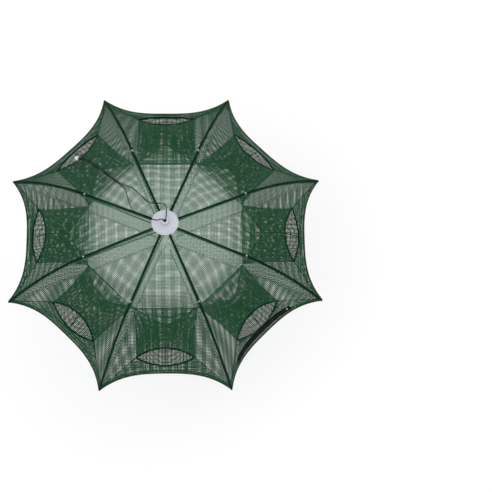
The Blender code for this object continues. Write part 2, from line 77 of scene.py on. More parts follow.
canopyShape = {
    "start": 0.024, "rimRadius": tipRadius * math.cos(half) - 0.045, "rimHeight": 0.0122, "rimCurve": 3,
    "netRise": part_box("canopy_1")[1].z - pivotHeight - 0.0012, "edgeGap": 0.0006, "ripple": 0.0016,
}
mouthShape = {"width": 0.158, "sill": 0.016, "length": 0.040, "cornerShare": 0.45, "cordRadius": 0.0023}


# ---- the canopy's surface, for a panel centred on +X
def rodHeight(radius):
    out, reach = radius - rivetRadius, tipRadius - rivetRadius
    bend = (rivetHeight - rodRadius * 0.55 - math.tan(droop) * reach) / reach**2
    return rivetHeight - math.tan(droop) * out - bend * out * out


def ribHeight(radius):
    radius = np.asarray(radius, float)
    straight = pivotHeight - math.tan(droop) * (radius - pivotRadius)
    return np.where(radius < rivetRadius, straight, rodHeight(radius))


def middleLine(along):
    s = canopyShape
    radius = s["start"] + (s["rimRadius"] - s["start"]) * along
    top = pivotHeight + s["netRise"]
    return radius, top - (top - s["rimHeight"]) * along**3


def sideLine(along):
    radius = canopyShape["start"] + (tipRadius - canopyShape["start"]) * along
    return radius, ribHeight(radius) + canopyShape["netRise"]


def panelWidth(side):
    return side * math.sin(half) - canopyShape["edgeGap"]


def forward(middle, side, across):
    return middle + (side * math.cos(half) - middle) * np.abs(across) ** canopyShape["rimCurve"]


def canopyPoint(along, across, panel=0):
    along, across = np.asarray(along, float), np.asarray(across, float)
    middle, middleHeight = middleLine(along)
    side, sideHeight = sideLine(along)
    z = middleHeight + (sideHeight - middleHeight) * across**2
    return np.stack([forward(middle, side, across), panelWidth(side) * across,
                     z + rippleHeight(along, across, panel)], -1)


def rippleHeight(along, across, panel):
    # slack in the net: low waves that die away at the ribs, the hub and the rim
    held = (1 - across**2) * along * (1.02 - along) * 4
    long = np.sin(7.3 * along + 2.1 * across + 1.7 * panel)
    short = 0.6 * np.sin(15.1 * along - 4.3 * across + 2.9 * panel)
    return canopyShape["ripple"] * held * (long + short - 0.8)


def alongAt(x, y):
    # how far from hub to rim a place lies: bisection, because the surface is given the other way round
    low, high = np.zeros_like(x) - 0.05, np.ones_like(x) * 1.1
    for _ in range(26):
        guess = (low + high) / 2
        side = sideLine(guess)[0]
        ahead = forward(middleLine(guess)[0], side, y / panelWidth(side)) > x
        high = np.where(ahead, guess, high)
        low = np.where(ahead, low, guess)
    return low, y / panelWidth(sideLine(low)[0])


def mouthLines():
    span = canopyShape["rimRadius"] - canopyShape["start"]
    low = 1 - mouthShape["sill"] / span
    high = low - mouthShape["length"] / span
    corner = high + (low - high) * mouthShape["cornerShare"]
    return high, low, corner, mouthShape["width"] / 2 / panelWidth(sideLine(corner)[0])


mouthHigh, mouthLow, mouthCorner, mouthEdge = (float(v) for v in mouthLines())


def lipPoint(line, share, panel=0):
    share = np.asarray(share, float)
    return canopyPoint(mouthCorner + (line - mouthCorner) * (1 - share**2), share * mouthEdge, panel)


def inMouth(along, across):
    openShare = 1 - (across / mouthEdge) ** 2
    above = mouthCorner + (mouthHigh - mouthCorner) * openShare
    below = mouthCorner + (mouthLow - mouthCorner) * openShare
    return (openShare > 0) & (along > above) & (along < below)


# ---- strands: straight threads cut to the sheet's outline
def clippedRuns(start, end, keep, spacing):
    # the stretches of a straight line that keep() accepts, each as evenly spaced points
    start, end = np.array(start, float), np.array(end, float)
    length = float(np.linalg.norm(end - start))
    count = max(int(length / 0.0025), 4)
    shares = np.linspace(0, 1, count + 1)
    good = keep(start + (end - start) * shares[:, None])
    runs, begin = [], None
    for i in range(count + 1):
        if good[i] and begin is None:
            begin = sharpen(start, end, shares[i - 1], shares[i], keep) if i else 0.0
        if begin is not None and (not good[i] or i == count):
            finish = 1.0 if good[i] else sharpen(start, end, shares[i], shares[i - 1], keep)
            if (finish - begin) * length > 0.003:
                parts = max(1, math.ceil((finish - begin) * length / spacing))
                runs.append(start + (end - start) * np.linspace(begin, finish, parts + 1)[:, None])
            begin = None
    return runs


def sharpen(start, end, bad, good, keep):
    for _ in range(9):
        middle = (bad + good) / 2
        if keep((start + (end - start) * middle)[None])[0]:
            good = middle
        else:
            bad = middle
    return good


def wovenLines(pitch, spacing, keep, shift=0.0):
    # both directions of a square net over one panel, cut by keep()
    reach, wide = tipRadius * math.cos(half), tipRadius * math.sin(half)
    lines = []
    for i in range(-int(wide / pitch), int(wide / pitch) + 1):
        lines += clippedRuns((0.0, (i + shift) * pitch), (reach, (i + shift) * pitch), keep, spacing)
    for i in range(1, int(reach / pitch) + 1):
        lines += clippedRuns(((i + shift) * pitch, -wide), ((i + shift) * pitch, wide), keep, spacing)
    return lines


def onCanopy(p):
    along, across = alongAt(p[:, 0], p[:, 1])
    return (along > 0) & (along < 1) & (np.abs(across) < 1) & ~inMouth(along, across)


def inBand(p):
    # the strip of doubled net outside the mouth and the two creases that run out to the tips
    along, across = alongAt(p[:, 0], p[:, 1])
    corner = lipPoint(mouthLow, 1.0)
    tip = (tipRadius * math.cos(half), tipRadius * math.sin(half))
    out = np.clip((np.abs(p[:, 1]) - corner[1]) / (tip[1] - corner[1]), 0, 1)
    beyond = np.where(np.abs(p[:, 1]) < corner[1], ~inMouth(along, across) & (p[:, 0] > corner[0]),
                      p[:, 0] > corner[0] + (tip[0] - corner[0]) * out)
    return beyond & (along < 1) & (np.abs(across) < 1)


def onFloor(p):
    along, across = alongAt(np.maximum(p[:, 0], 0.03), p[:, 1])
    inside = np.abs(p[:, 1]) < p[:, 0] * math.tan(half) - 0.0008
    return inside & ((along < floorNet["edge"]) | (p[:, 0] < 0.05))


def placed(lines):
    # each point of each line with its place along and across the panel
    found = []
    for line in lines:
        found.append((line, *alongAt(np.maximum(line[:, 0], 0.026), line[:, 1])))
    return found


def selvedge(insets, ends, count=32):
    # extra threads close beside the panel's two long edges and its rim
    lines = []
    for inset in insets:
        for side in (-1, 1):
            along = np.linspace(0.01, 0.99, count)
            lines.append(canopyPoint(along, np.full(count, side * (1 - inset)))[:, :2])
    for end in ends:
        across = np.linspace(-0.98, 0.98, count)
        lines.append(canopyPoint(np.full(count, end), across)[:, :2])
    return lines


def canopyLift(found, panel, lower=0.0):
    return [np.column_stack([p, canopyPoint(along, across, panel)[:, 2] - lower])
            for p, along, across in found]


def floorLift(found, panel):
    lines = []
    for p, along, across in found:
        rim = np.clip((along - 0.94) / 0.06, 0, 1) ** 2 * 0.006
        wave = 1 + np.sin(31 * p[:, 0] + 1.3 * panel) * np.sin(27 * p[:, 1] + panel)
        lines.append(np.column_stack([p, floorNet["height"] + rim + 0.0006 * wave * (p[:, 0] < 0.36)]))
    return lines


def patchStrands(point, acrossCount, alongCount, stop, parts):
    # a four-sided sheet woven between two edges: point(across, along), stopped short where stop() says
    lines = []
    for share in np.linspace(-1, 1, acrossCount):
        far = float(stop(share))
        lines.append(point(np.full(parts + 1, share), np.linspace(0, far, parts + 1)))
    for share in np.linspace(0.01, 0.99, alongCount):
        places = np.linspace(-1, 1, parts * 2 + 1)
        inside = stop(places) >= share
        for side in (places < 1e-9, places > -1e-9):
            chosen = places[inside & side]
            if inside.all() and side[0]:
                lines.append(point(places, np.full(len(places), share)))
                break
            if len(chosen) > 1:
                lines.append(point(chosen, np.full(len(chosen), share)))
    return lines


# ---- geometry nodes
def addNodes(tree, *kinds):
    return [tree.nodes.new(kind) for kind in kinds]


def addSockets(tree, way, sockets):
    for label, kind, *value in sockets:
        made = tree.interface.new_socket(label, in_out=way, socket_type="NodeSocket" + kind)
        if value:
            made.default_value = value[0]


def joinAll(tree, *links):
    for source, out, target, into in links:
        tree.links.new(source.outputs[out], target.inputs[into])


def newTree(name, inputs):
    tree = bpy.data.node_groups.new(name, "GeometryNodeTree")
    addSockets(tree, "INPUT", [("Geometry", "Geometry"), *inputs, ("Finish", "Material")])
    addSockets(tree, "OUTPUT", [("Geometry", "Geometry")])
    return tree, *addNodes(tree, "NodeGroupInput", "NodeGroupOutput")


def finishTree(tree, given, last, output):
    # every tree ends in real geometry with its finish on it
    real, paint = addNodes(tree, "GeometryNodeRealizeInstances", "GeometryNodeSetMaterial")
    joinAll(tree, (last, 0, real, 0), (real, 0, paint, "Geometry"), (given, "Finish", paint, "Material"),
            (paint, 0, output, 0))
    return tree


def threadTree():
    # round threads along the mesh's loose edges, a little uneven in thickness
    tree, given, output = newTree("threads", [("Radius", "Float", 0.0005), ("Sides", "Int", 4),
                                              ("Uneven", "Float", 0.0), ("Lumps", "Float", 60.0)])
    curve, ring, sweep, smooth, noise, centred, scaled, move, thick = addNodes(
        tree, "GeometryNodeMeshToCurve", "GeometryNodeCurvePrimitiveCircle", "GeometryNodeCurveToMesh",
        "GeometryNodeSetShadeSmooth", "ShaderNodeTexNoise", "ShaderNodeVectorMath", "ShaderNodeVectorMath",
        "GeometryNodeSetPosition", "GeometryNodeInputNamedAttribute")
    sweep.inputs["Fill Caps"].default_value = True
    centred.operation, scaled.operation = "SUBTRACT", "SCALE"
    centred.inputs[1].default_value = (0.5, 0.5, 0.5)
    thick.data_type = "FLOAT"
    thick.inputs["Name"].default_value = "thick"
    joinAll(
        tree,
        (given, "Geometry", curve, 0), (given, "Radius", ring, "Radius"),
        (given, "Sides", ring, "Resolution"), (curve, 0, sweep, "Curve"), (ring, 0, sweep, "Profile Curve"),
        (thick, "Attribute", sweep, "Scale"), (given, "Lumps", noise, "Scale"),
        (noise, "Color", centred, 0), (centred, 0, scaled, 0), (given, "Uneven", scaled, "Scale"),
        (sweep, 0, move, "Geometry"), (scaled, 0, move, "Offset"), (move, 0, smooth, "Geometry"))
    return finishTree(tree, given, smooth, output)


def alongPathTree():
    # copies of a small piece at even distances along a path, each turned to face along it
    tree, given, output = newTree("along path", [("Piece", "Object"), ("Spacing", "Float", 0.01),
                                                 ("Tilt", "Float", 0.0), ("Seed", "Int", 3)])
    curve, points, info, place, tilt, chance, lowest, highest = addNodes(
        tree, "GeometryNodeMeshToCurve", "GeometryNodeCurveToPoints", "GeometryNodeObjectInfo",
        "GeometryNodeInstanceOnPoints", "GeometryNodeRotateInstances", "FunctionNodeRandomValue",
        "ShaderNodeVectorMath", "ShaderNodeVectorMath")
    points.mode, chance.data_type = "LENGTH", "FLOAT_VECTOR"
    for end, share in ((lowest, -1), (highest, 1)):
        end.operation = "SCALE"
        end.inputs[0].default_value = (share, share, share)
        tree.links.new(given.outputs["Tilt"], end.inputs["Scale"])
    joinAll(
        tree,
        (given, "Geometry", curve, 0), (curve, 0, points, "Curve"), (given, "Spacing", points, "Length"),
        (given, "Piece", info, "Object"), (points, "Points", place, "Points"),
        (points, "Rotation", place, "Rotation"), (info, "Geometry", place, "Instance"),
        (lowest, 0, chance, "Min"), (highest, 0, chance, "Max"), (given, "Seed", chance, "Seed"),
        (place, 0, tilt, "Instances"), (chance, "Value", tilt, "Rotation"))
    return finishTree(tree, given, tilt, output)


def grown(name, mesh, tree, values):
    # runs a tree on a mesh once and keeps the result as a plain mesh
    thing = addObject(name, mesh)
    change = thing.modifiers.new("grow", "NODES")
    change.node_group = tree
    for item in tree.interface.items_tree:
        if item.item_type == "SOCKET" and item.in_out == "INPUT" and item.name in values:
            change[item.identifier] = values[item.name]
    bpy.context.view_layer.update()
    result = bpy.data.meshes.new_from_object(thing.evaluated_get(bpy.context.evaluated_depsgraph_get()))
    thing.modifiers.clear()
    thing.data = result
    return thing


def addObject(name, mesh):
    thing = bpy.data.objects.new(name, mesh)
    bpy.context.scene.collection.objects.link(thing)
    return thing


def linesMesh(lines, thick=None):
    # loose edges through each line's points; thick() gives the threads' thickness there, as a share
    points, edges = [], []
    for line in lines:
        first = len(points)
        points += [tuple(p) for p in line]
        edges += [(first + i, first + i + 1) for i in range(len(line) - 1)]
    mesh = bpy.data.meshes.new("lines")
    mesh.from_pydata(points, edges, [])
    share = mesh.attributes.new("thick", "FLOAT", "POINT")
    share.data.foreach_set("value", np.ones(len(points)) if thick is None else thick(np.array(points)))
    return mesh


def heavierOutward(points):
    # the net is drawn up closer away from the hub
    s = canopyNet["heavier"]
    out = np.hypot(points[:, 0], points[:, 1])
    return 1 + s["by"] * np.clip((out - s["from"]) / (s["to"] - s["from"]), 0, 1)


def turned(lines, angle):
    spin = np.array(Matrix.Rotation(angle, 3, "Z"))
    return [np.asarray(line) @ spin.T for line in lines]


def smoothLine(route, spacing):
    # evenly spaced points on a smooth curve through the route's own points
    points = [Vector(p) for p in route]
    padded = [2 * points[0] - points[1], *points, 2 * points[-1] - points[-2]]
    fine = []
    for a, b, c, d in zip(padded, padded[1:], padded[2:], padded[3:]):
        for i in range(12):
            t = i / 12
            bent = (2 * a - 5 * b + 4 * c - d) * t**2 + (3 * b - a - 3 * c + d) * t**3
            fine.append(0.5 * (2 * b + (c - a) * t + bent))
    fine.append(points[-1])
    fine = np.array(fine)
    along = np.concatenate([[0], np.cumsum(np.linalg.norm(np.diff(fine, axis=0), axis=1))])
    at = np.linspace(0, along[-1], max(2, round(along[-1] / spacing)) + 1)
    return np.stack([np.interp(at, along, fine[:, i]) for i in range(3)], 1)


# ---- materials
def newGroup(name, inputs, outputs):
    group = bpy.data.node_groups.new(name, "ShaderNodeTree")
    addSockets(group, "INPUT", inputs)
    addSockets(group, "OUTPUT", outputs)
    return group, *addNodes(group, "NodeGroupInput", "NodeGroupOutput", "ShaderNodeTexCoord")


def grainGroup():
    # colour that drifts between two tones, roughness that drifts with it, and a fine height for bump
    group, given, output, place = newGroup("grain", [
        ("Tone", "Color", (0.5, 0.5, 0.5, 1)), ("Other Tone", "Color", (0.4, 0.4, 0.4, 1)),
        ("Patch Scale", "Float", 12.0), ("Grain Scale", "Float", 300.0), ("Smoothest", "Float", 0.4),
        ("Roughest", "Float", 0.7),
    ], [("Color", "Color"), ("Roughness", "Float"), ("Height", "Float")])
    patches, fine, spread, rough, blend = addNodes(
        group, "ShaderNodeTexNoise", "ShaderNodeTexNoise", "ShaderNodeMapRange", "ShaderNodeMapRange",
        "ShaderNodeMix")
    patches.inputs["Detail"].default_value, fine.inputs["Detail"].default_value = 4, 3
    spread.inputs["From Min"].default_value, spread.inputs["From Max"].default_value = 0.3, 0.7
    blend.data_type = "RGBA"
    joinAll(
        group,
        (place, "Object", patches, "Vector"), (place, "Object", fine, "Vector"),
        (given, "Patch Scale", patches, "Scale"), (given, "Grain Scale", fine, "Scale"),
        (patches, "Fac", spread, "Value"), (spread, "Result", blend, 0), (given, "Tone", blend, 6),
        (given, "Other Tone", blend, 7), (fine, "Fac", rough, "Value"),
        (given, "Smoothest", rough, "To Min"), (given, "Roughest", rough, "To Max"),
        (blend, 2, output, "Color"), (rough, "Result", output, "Roughness"),
        (fine, "Fac", output, "Height"))
    return group


def twistGroup():
    # slanted bands such as laid or braided yarn shows
    group, given, output, place = newGroup(
        "twist", [("Bands", "Float", 900.0), ("Dark", "Float", 0.6), ("Color", "Color")],
        [("Color", "Color"), ("Height", "Float")])
    wave, shade, tint = addNodes(group, "ShaderNodeTexWave", "ShaderNodeMapRange", "ShaderNodeMix")
    wave.bands_direction = "DIAGONAL"
    wave.inputs["Distortion"].default_value, wave.inputs["Detail"].default_value = 1.5, 2
    tint.data_type, tint.blend_type = "RGBA", "MULTIPLY"
    tint.inputs[0].default_value = 1.0
    joinAll(
        group,
        (place, "Object", wave, "Vector"), (given, "Bands", wave, "Scale"), (wave, "Fac", shade, "Value"),
        (given, "Dark", shade, "To Min"), (given, "Color", tint, 6), (shade, "Result", tint, 7),
        (tint, 2, output, "Color"), (wave, "Fac", output, "Height"))
    return group


def fadeGroup():
    # a second tone that takes over away from the hub, where the net hangs steeper and closer
    group, given, output, place = newGroup("fade", [
        ("Color", "Color", (0.5, 0.5, 0.5, 1)), ("Far Tone", "Color", (0.4, 0.4, 0.4, 1)),
        ("Start", "Float", 0.2), ("End", "Float", 0.3),
    ], [("Color", "Color")])
    out, share, blend = addNodes(group, "ShaderNodeVectorMath", "ShaderNodeMapRange", "ShaderNodeMix")
    out.operation, blend.data_type = "LENGTH", "RGBA"
    joinAll(
        group,
        (place, "Object", out, 0), (out, "Value", share, "Value"), (given, "Start", share, "From Min"),
        (given, "End", share, "From Max"), (share, "Result", blend, 0), (given, "Color", blend, 6),
        (given, "Far Tone", blend, 7), (blend, 2, output, "Color"))
    return group


def makeMaterial(name, s):
    made = bpy.data.materials.new(name)
    made.use_nodes = True
    tree = made.node_tree
    shader = tree.nodes["Principled BSDF"]
    shader.inputs["Metallic"].default_value = s.get("metal", 0.0)
    shader.inputs["Specular IOR Level"].default_value = s.get("shine", 0.5)
    grain, bump = addNodes(tree, "ShaderNodeGroup", "ShaderNodeBump")
    grain.node_tree = grainNodes
    for label, value in (
        ("Tone", (*s["tone"], 1)), ("Other Tone", (*s["other"], 1)), ("Patch Scale", s.get("patch", 12.0)),
        ("Grain Scale", s.get("grain", 300.0)), ("Smoothest", s["rough"][0]), ("Roughest", s["rough"][1]),
    ):
        grain.inputs[label].default_value = value
    bump.inputs["Strength"].default_value = s.get("bump", 0.2)
    bump.inputs["Distance"].default_value = 0.0003
    colour, height = grain.outputs["Color"], grain.outputs["Height"]
    if "far" in s:
        fade = tree.nodes.new("ShaderNodeGroup")
        fade.node_tree = fadeNodes
        fade.inputs["Far Tone"].default_value = (*s["far"], 1)
        fade.inputs["Start"].default_value, fade.inputs["End"].default_value = s["fade"]
        tree.links.new(colour, fade.inputs["Color"])
        colour = fade.outputs["Color"]
    if "bands" in s:
        twist = tree.nodes.new("ShaderNodeGroup")
        twist.node_tree = twistNodes
        twist.inputs["Bands"].default_value = s["bands"]
        twist.inputs["Dark"].default_value = s.get("dark", 0.6)
        tree.links.new(colour, twist.inputs["Color"])
        colour, height = twist.outputs["Color"], twist.outputs["Height"]
    tree.links.new(colour, shader.inputs["Base Color"])
    tree.links.new(grain.outputs["Roughness"], shader.inputs["Roughness"])
    tree.links.new(height, bump.inputs["Height"])
    tree.links.new(bump.outputs["Normal"], shader.inputs["Normal"])
    return made


grainNodes, twistNodes, fadeNodes = grainGroup(), twistGroup(), fadeGroup()
wideNet = {"rough": (0.5, 0.75), "bands": 700.0, "dark": 0.75, "far": (0.018, 0.100, 0.040),
           "fade": (0.20, 0.27), "shine": 0.12}
finishes = {
    "canopyNet": {**wideNet, "tone": (0.040, 0.178, 0.084), "other": (0.054, 0.212, 0.104)},
    "floorNet": {**wideNet, "tone": (0.040, 0.172, 0.084), "other": (0.054, 0.200, 0.104)},
    "funnelNet": {"tone": (0.014, 0.082, 0.026), "other": (0.023, 0.106, 0.037), "rough": (0.5, 0.8),
                  "bands": 700.0, "dark": 0.75, "shine": 0.1},
    "seamTape": {"tone": (0.003, 0.024, 0.008), "other": (0.006, 0.038, 0.014), "rough": (0.6, 0.9),
                 "bands": 420.0, "dark": 0.45, "patch": 40.0, "bump": 0.5, "shine": 0.08},
    "rimCord": {"tone": (0.008, 0.018, 0.015), "other": (0.016, 0.030, 0.026), "rough": (0.5, 0.8),
                "bands": 500.0, "dark": 0.4, "bump": 0.5, "shine": 0.1},
    "pullCord": {"tone": (0.008, 0.016, 0.017), "other": (0.015, 0.026, 0.028), "rough": (0.5, 0.8),
                 "bands": 800.0, "dark": 0.4, "bump": 0.5, "shine": 0.1},
    "hubWhite": {"tone": (0.56, 0.58, 0.64), "other": (0.50, 0.52, 0.58), "rough": (0.35, 0.55),
                 "patch": 25.0, "grain": 900.0, "bump": 0.1, "shine": 0.3},
    "darkPlastic": {"tone": (0.010, 0.015, 0.013), "other": (0.017, 0.024, 0.021), "rough": (0.35, 0.6),
                    "grain": 1400.0, "bump": 0.15, "shine": 0.25},
    "paintedSteel": {"tone": (0.008, 0.030, 0.014), "other": (0.015, 0.044, 0.022), "rough": (0.3, 0.5),
                     "patch": 30.0, "grain": 1200.0, "bump": 0.1, "shine": 0.3},
    "ringWire": {"tone": (0.55, 0.55, 0.56), "other": (0.42, 0.42, 0.43), "rough": (0.2, 0.45), "metal": 1.0,
                 "grain": 900.0, "bump": 0.1},
    "rivetPale": {"tone": (0.50, 0.58, 0.50), "other": (0.38, 0.44, 0.38), "rough": (0.25, 0.45),
                  "metal": 0.3, "grain": 900.0, "bump": 0.1},
    "zipTape": {"tone": (0.004, 0.0045, 0.005), "other": (0.008, 0.0085, 0.009), "rough": (0.65, 0.9),
                "bands": 600.0, "dark": 0.5, "bump": 0.5, "shine": 0.06},
    "beadWhite": {"tone": (0.80, 0.81, 0.80), "other": (0.70, 0.72, 0.70), "rough": (0.25, 0.4),
                  "grain": 700.0, "bump": 0.08},
}
made = {name: makeMaterial(name, settings) for name, settings in finishes.items()}
threads, alongPath = threadTree(), alongPathTree()
print("materials ready")


# ---- where each piece goes
def strung(name, lines, radius, sides, finish, uneven=0.0, lumps=60.0, thick=None):
    return grown(name, linesMesh(lines, thick), threads, {
        "Radius": radius, "Sides": sides, "Uneven": uneven, "Lumps": lumps, "Finish": made[finish]})


def repeated(name, lines, piece, spacing, tilt, seed, finish):
    return grown(name, linesMesh(lines), alongPath, {
        "Piece": piece, "Spacing": spacing, "Tilt": tilt, "Seed": seed, "Finish": made[finish]})


def squashed(piece):
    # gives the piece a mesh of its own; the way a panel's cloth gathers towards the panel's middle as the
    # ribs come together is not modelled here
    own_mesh(piece)


def onPanel(panel, slotName, *pieces):
    for piece in pieces:
        squashed(piece)
        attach(piece, f"panel_{panel + 1}")


def onBody(body, slotName, *pieces):
    for piece in pieces:
        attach(piece, body)


def facetAreas(p):
    a, b = p[1:, 1:] - p[:-1, :-1], p[1:, :-1] - p[:-1, 1:]
    return np.linalg.norm(np.cross(a, b), axis=-1)


def sheetArea(point, parts=40):
    # the area of a surface given as point(u, v), both from 0 to 1
    u, v = np.meshgrid(np.linspace(0, 1, parts + 1), np.linspace(0, 1, parts + 1), indexing="ij")
    return float(facetAreas(point(u, v)).sum() / 2)


def patchArea(keep, parts=160):
    # the area of the part of a panel that keep() accepts, over the canopy's surface
    u, v = np.meshgrid(np.linspace(0, 1, parts + 1), np.linspace(-1, 1, parts + 1), indexing="ij")
    p = canopyPoint(u, v)
    middle = (p[1:, 1:] + p[:-1, :-1]) / 2
    inside = keep(middle.reshape(-1, 3)[:, :2]).reshape(middle.shape[:2])
    return float((facetAreas(p) * inside).sum() / 2)


canopyNet = {"pitch": 0.0034, "spacing": 0.012, "radius": 0.00049, "insets": (0.004, 0.011),
             "ends": (0.994, 0.987), "bandPitch": 0.0056, "bandBelow": 0.003, "flatLength": 0.50,
             "heavier": {"from": 0.17, "to": 0.26, "by": 0.44}, "keep": 0.42}
rimTrim = {"radius": 0.0018, "uneven": 0.0006, "lumps": 180.0, "stitchSpacing": 0.009, "stitchTilt": 0.35,
           "creaseRadius": 0.0011, "creaseUneven": 0.0005, "creaseLumps": 120.0, "creaseLift": 0.0005}
floorNet = {"pitch": 0.0040, "spacing": 0.024, "radius": 0.00058, "height": 0.0008, "edge": 0.985,
            "insets": (0.010, 0.018), "ends": (0.980, 0.972), "flatLength": 0.425, "keep": 0.26}
funnelNet = {"pitch": 0.0030, "radius": 0.00051, "parts": 9, "innerRadius": 0.2125, "innerHeight": 0.051,
             "innerHalfWidth": 0.0862, "apexRadius": 0.269, "below": 0.0025, "sag": 0.006, "rise": 0.004,
             "drawnIn": 0.004, "crease": 0.0016, "apart": 0.002, "deep": 0.150, "flapShare": 0.8,
             "rampFlat": 0.158, "flapFlat": 0.125, "lumps": 200.0}
# each cord of an entrance: radius, sides of its section, and how uneven it is
entranceCords = {"mouthCord": (mouthShape["cordRadius"], 8, 0.0005), "funnelHem": (0.0010, 6, 0.0005),
                 "flapString": (0.0013, 6, 0.0004), "cornerTies": (0.0009, 6, 0.0004)}


# ---- canopy and rim
canopyFound = placed(wovenLines(canopyNet["pitch"], canopyNet["spacing"], onCanopy)
                     + selvedge(canopyNet["insets"], canopyNet["ends"]))
bandFound = placed(wovenLines(canopyNet["bandPitch"], canopyNet["spacing"], inBand, 0.5))
canopyArea = patchArea(onCanopy) + patchArea(inBand)
print("canopy laid out")


def makeCanopy(panel):
    lines = canopyLift(canopyFound, panel) + canopyLift(bandFound, panel, canopyNet["bandBelow"])
    net = strung(f"canopyNet{panel + 1}", turned(lines, panel * step), canopyNet["radius"], 4, "canopyNet",
                 thick=heavierOutward)
    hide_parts(f"canopy_{panel + 1}")
    onPanel(panel, "net", net)


def makeRim(panel):
    r = rimTrim
    cordLine = turned([canopyPoint(np.ones(41), np.linspace(-1, 1, 41), panel)], panel * step)
    rim = strung(f"rimCord{panel + 1}", cordLine, r["radius"], 8, "rimCord", r["uneven"], r["lumps"])
    onPanel(panel, "pull_cord", rim)
    stitches = repeated(f"rimStitches{panel + 1}", cordLine, loopPiece, r["stitchSpacing"], r["stitchTilt"],
                        panel, "seamTape")
    onPanel(panel, "net", stitches)
    tip = canopyPoint(0.985, 0.985, panel)
    creases = []
    for side in (-1, 1):
        corner = lipPoint(mouthLow, float(side), panel)
        flat = corner + (tip * [1, side, 1] - corner) * np.linspace(0, 1, 13)[:, None]
        along, over = alongAt(flat[:, 0], flat[:, 1])
        lifted = canopyPoint(along, np.clip(over, -0.99, 0.99), panel) + np.array([0, 0, r["creaseLift"]])
        creases.append(lifted)
    crease = strung(f"creases{panel + 1}", turned(creases, panel * step), r["creaseRadius"], 6, "seamTape",
                    r["creaseUneven"], r["creaseLumps"])
    onPanel(panel, "net", crease)


def ringMesh(radius, wire, around, sides):
    points, faces = [], []
    for i in range(around):
        turn = 2 * math.pi * i / around
        for s in range(sides):
            roll = 2 * math.pi * s / sides
            out = radius + wire * math.cos(roll)
            points.append((out * math.cos(turn), out * math.sin(turn), wire * math.sin(roll)))
    for i in range(around):
        for s in range(sides):
            j, t = (i + 1) % around, (s + 1) % sides
            faces.append((i * sides + s, j * sides + s, j * sides + t, i * sides + t))
    mesh = bpy.data.meshes.new("ring")
    mesh.from_pydata(points, [], faces)
    mesh.shade_smooth()
    return mesh


# ---- entrances
def funnelPoint(across, along, panel, line, lift):
    # from a lip of the mouth in to the straight inner edge, drawn in at the sides; also how far it may bow
    f = funnelNet
    lip = lipPoint(line, across, panel) - np.array([0, 0, f["below"]])
    inner = np.stack([np.full_like(across, f["innerRadius"]), f["innerHalfWidth"] * across,
                      np.full_like(across, f["innerHeight"] + lift)], -1)
    p = lip + (inner - lip) * along[..., None]
    bow = along * (1 - along) * 4
    p[..., 1] -= f["drawnIn"] * np.sign(across) * bow * across**2
    return p, bow


def rampPoint(across, along, panel):
    # the lower sheet, from the mouth's outer lip
    across, along = np.asarray(across, float), np.asarray(along, float)
    p, bow = funnelPoint(across, along, panel, mouthLow, -funnelNet["apart"])
    p[..., 2] -= funnelNet["sag"] * bow * (1 - across**2)
    p[..., 2] += funnelNet["crease"] * bow * np.sin(9 * across + 5 * along + panel)
    return p


def flapPoint(across, along, panel):
    # the upper sheet, from the mouth's inner lip, lying over the ramp and ending in a V
    across, along = np.asarray(across, float), np.asarray(along, float)
    p, bow = funnelPoint(across, along, panel, mouthHigh, funnelNet["apart"])
    p[..., 2] += funnelNet["rise"] * bow * (1 - across**2)
    p[..., 2] += funnelNet["crease"] * bow * np.sin(8 * across - 6 * along + 2 * panel)
    return p


def rampStop(across):
    return np.ones_like(np.asarray(across, float))


def flapStop(across):
    lip = float(lipPoint(mouthHigh, 0.0)[0])
    middle = (lip - funnelNet["apexRadius"]) / (lip - funnelNet["innerRadius"])
    return middle + (1 - middle) * np.abs(across)


def makeEntrance(panel):
    f, angle = funnelNet, panel * step
    wide = 2 * f["innerHalfWidth"]
    sheets = []
    for kind, point, stop, deep, held in (
        ("ramp", rampPoint, rampStop, f["deep"], "stretched"),
        ("flap", flapPoint, flapStop, f["flapShare"] * f["deep"], "hung"),
    ):
        strands = patchStrands(lambda a, l: point(a, l, panel), round(wide / f["pitch"]),
                               round(deep / f["pitch"]), stop, f["parts"])
        sheet = strung(f"{kind}Net{panel + 1}", turned(strands, angle), f["radius"], 4, "funnelNet")
        area = sheetArea(lambda u, v: point(2 * v - 1, u * stop(2 * v - 1), panel))
        sheets.append(sheet)
    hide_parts(f"funnel_{panel + 1}")
    shares, one = np.linspace(-1, 1, 25), np.linspace(0, 1, 9)
    lips = [lipPoint(line, shares, panel) - np.array([0, 0, 0.0008]) for line in (mouthHigh, mouthLow)]
    sides = [rampPoint(np.full(9, s), one, panel) for s in (-1.0, 1.0)]
    inner = rampPoint(shares, np.ones(25), panel)
    vLine = flapPoint(shares, flapStop(shares), panel) + np.array([0, 0, 0.0006])
    reach = float(flapStop(0.0)) * (0.86 - 0.84 * one)
    over = flapPoint(np.zeros(9), reach, panel) + np.array([0, 0, 0.0022])
    pull = np.vstack([over, over[-1] + (lips[1][12] - over[-1]) * one[1:, None]])
    ties = []
    for s in (-1.0, 1.0):
        corner = rampPoint(np.array([s]), np.array([1.0]), panel)[0]
        knot = np.array([rivetRadius * math.cos(half), s * (rivetRadius * math.sin(half) - 0.004),
                         rivetHeight - 0.004])
        ties.append(corner + (knot - corner) * one[:, None])
    for kind, lines in (("mouthCord", lips), ("funnelHem", [*sides, inner]), ("flapString", [vLine, pull]),
                        ("cornerTies", ties)):
        radius, section, uneven = entranceCords[kind]
        sheets.append(strung(f"{kind}{panel + 1}", turned(lines, angle), radius, section, "seamTape", uneven,
                             f["lumps"]))
    onPanel(panel, "funnel_net", *sheets)


# ---- floor
floorFound = placed(wovenLines(floorNet["pitch"], floorNet["spacing"], onFloor)
                    + selvedge(floorNet["insets"], floorNet["ends"]))
floorArea = sheetArea(lambda u, v: canopyPoint(floorNet["edge"], 2 * v - 1) * np.stack([u, u, u * 0], -1))


